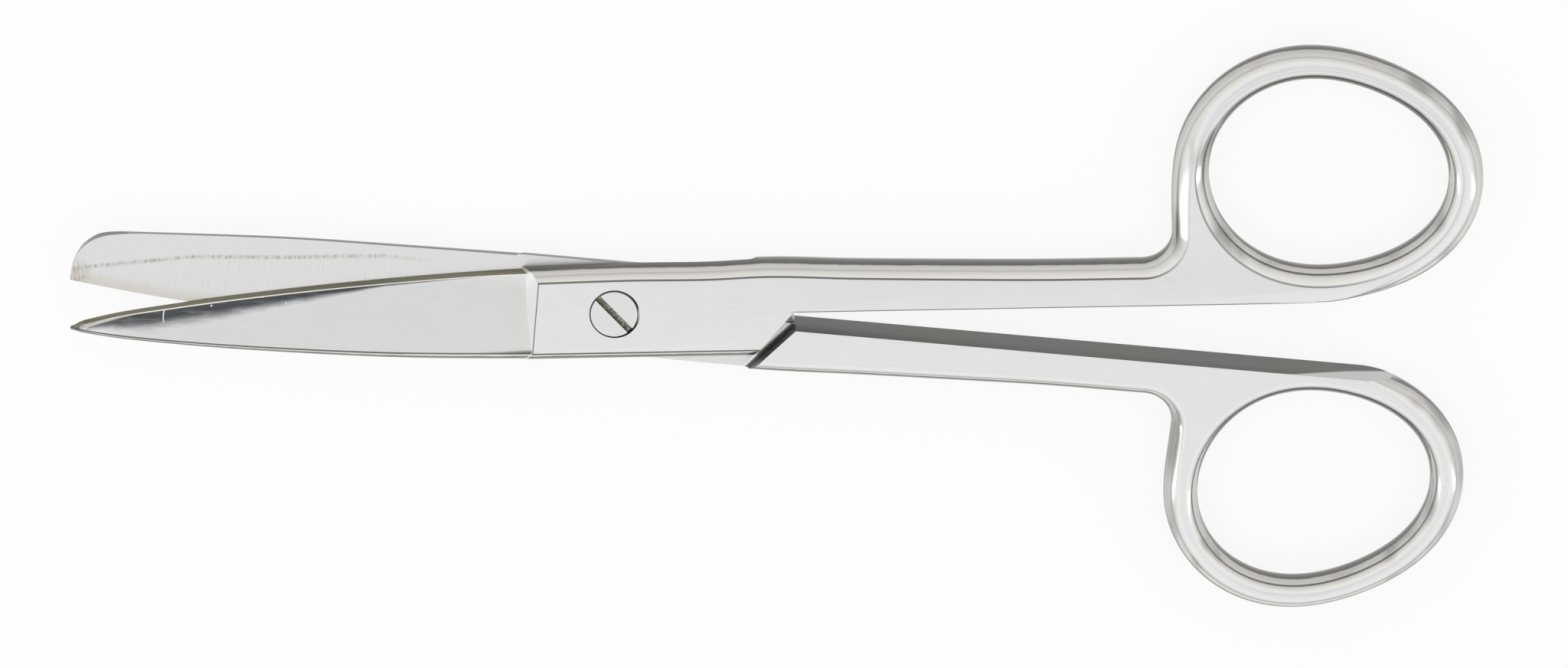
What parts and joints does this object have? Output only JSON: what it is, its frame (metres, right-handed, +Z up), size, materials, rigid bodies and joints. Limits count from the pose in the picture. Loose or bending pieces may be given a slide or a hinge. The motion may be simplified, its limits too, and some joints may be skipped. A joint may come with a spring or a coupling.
{
  "type": "operating scissors",
  "caption": "Straight operating scissors with one sharp and one blunt blade, flat polished steel halves joined by a slotted pivot screw, oval finger rings.",
  "frame": {"origin": "on the pivot axis, at the level underside that the pair rests on", "axes": "+X from the pivot towards the finger rings, +Z up out of the screw head's side, +Y towards the front half's ring"},
  "size_m": [0.1454, 0.0612, 0.0048],
  "materials": {
    "polished_steel": "polished, with fine grinding marks",
    "screw_steel": "fine satin"
  },
  "bodies": {
    "back": {"back_half": "polished_steel", "pivot_screw": "screw_steel"},
    "front": {"front_half": "polished_steel"}
  },
  "joints": [
    {"name": "pivot", "type": "hinge", "parent": "back", "child": "front", "pos_m": [0, 0, 0.0024], "axis": [0, 0, 1], "range_deg": [-6.1, 131]}
  ]
}
